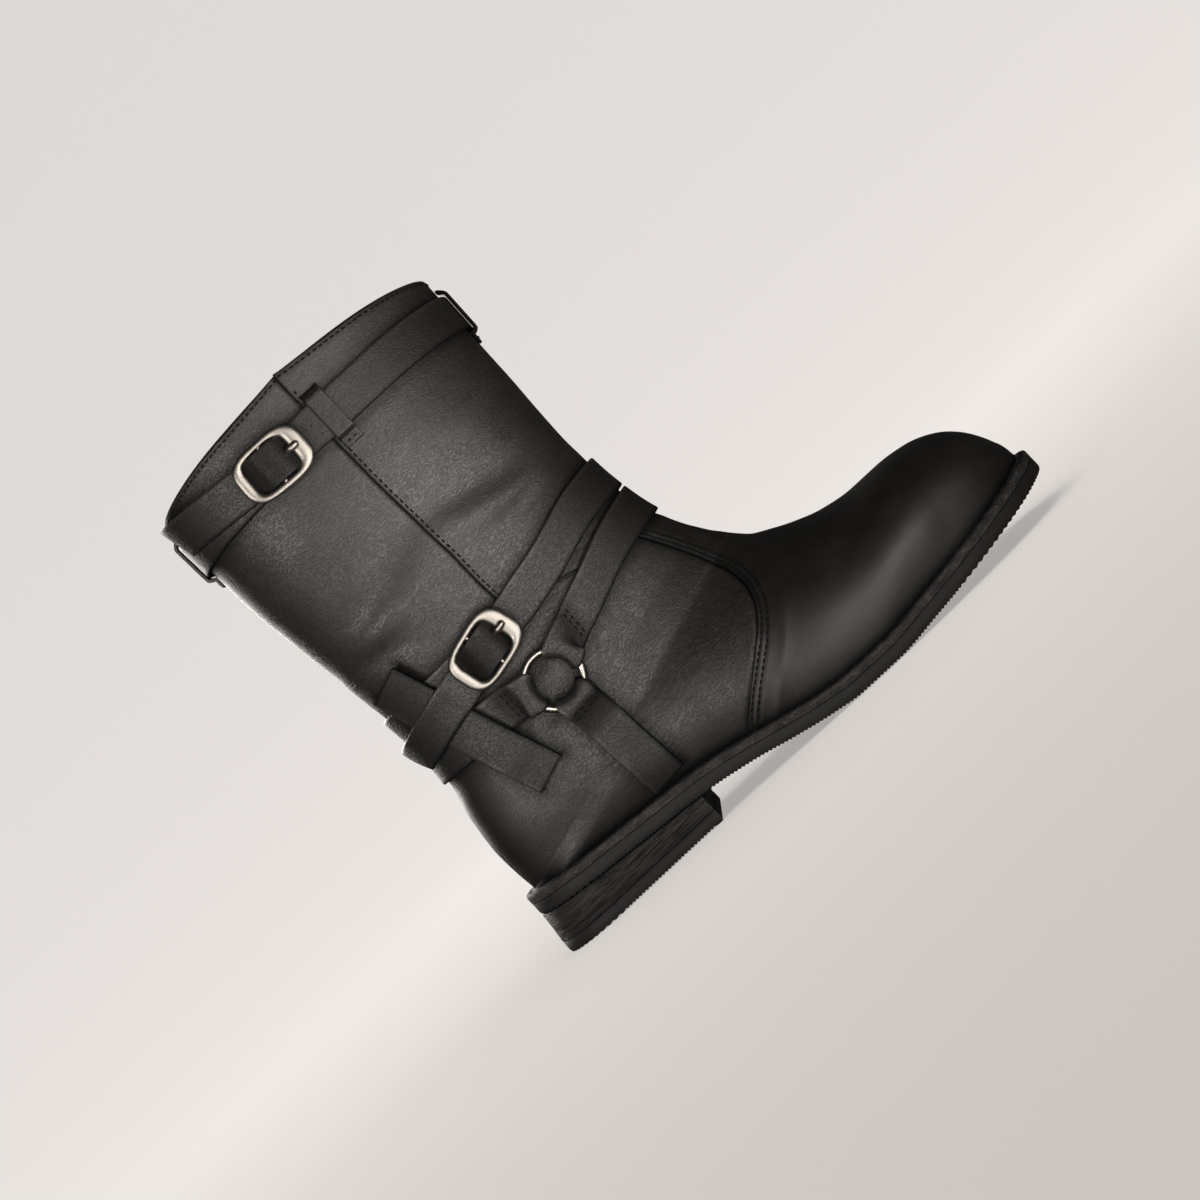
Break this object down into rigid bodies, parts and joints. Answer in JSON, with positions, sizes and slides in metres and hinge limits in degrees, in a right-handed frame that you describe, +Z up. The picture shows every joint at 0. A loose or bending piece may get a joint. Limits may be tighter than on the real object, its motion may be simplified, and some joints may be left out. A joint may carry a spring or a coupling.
{
  "type": "mid-calf harness boot",
  "caption": "Right mid-calf leather boot with a ring harness, buckled ankle and collar straps, welted sole and stacked heel, standing empty and open at the collar.",
  "frame": {"origin": "on the floor, under the centre of the boot's bounding box", "axes": "+X to the toe, +Y to the inner side of the right boot, +Z up; the boot stands on heel and forefoot at z = 0"},
  "size_m": [0.289, 0.1078, 0.2548],
  "materials": {
    "black_leather": "grained, lightly glazed black",
    "strap_leather": "smooth satin black",
    "welt_rubber": "worn matt black edge",
    "sole_rubber": "matt black",
    "heel_stack": "black stained stack with fine level streaks",
    "insole_leather": "matt",
    "nickel": "satin warm nickel"
  },
  "bodies": {
    "root": {"outsole": "sole_rubber", "welt": "welt_rubber", "heel_block": "heel_stack", "heel_lift": "sole_rubber", "insole": "insole_leather", "upper": "black_leather", "collar_strap": "strap_leather", "collar_keeper": "strap_leather", "collar_loop_front": "strap_leather", "collar_loop_back": "strap_leather", "collar_buckle_frame": "nickel", "collar_buckle_prong": "nickel", "ankle_strap": "strap_leather", "ankle_buckle_frame": "nickel", "ankle_buckle_prong": "nickel", "keeper_tab": "strap_leather", "instep_strap": "strap_leather", "heel_strap": "strap_leather", "sole_strap_outer": "strap_leather", "sole_strap_inner": "strap_leather", "ring_outer": "nickel", "ring_inner": "nickel"}
  },
  "joints": []
}
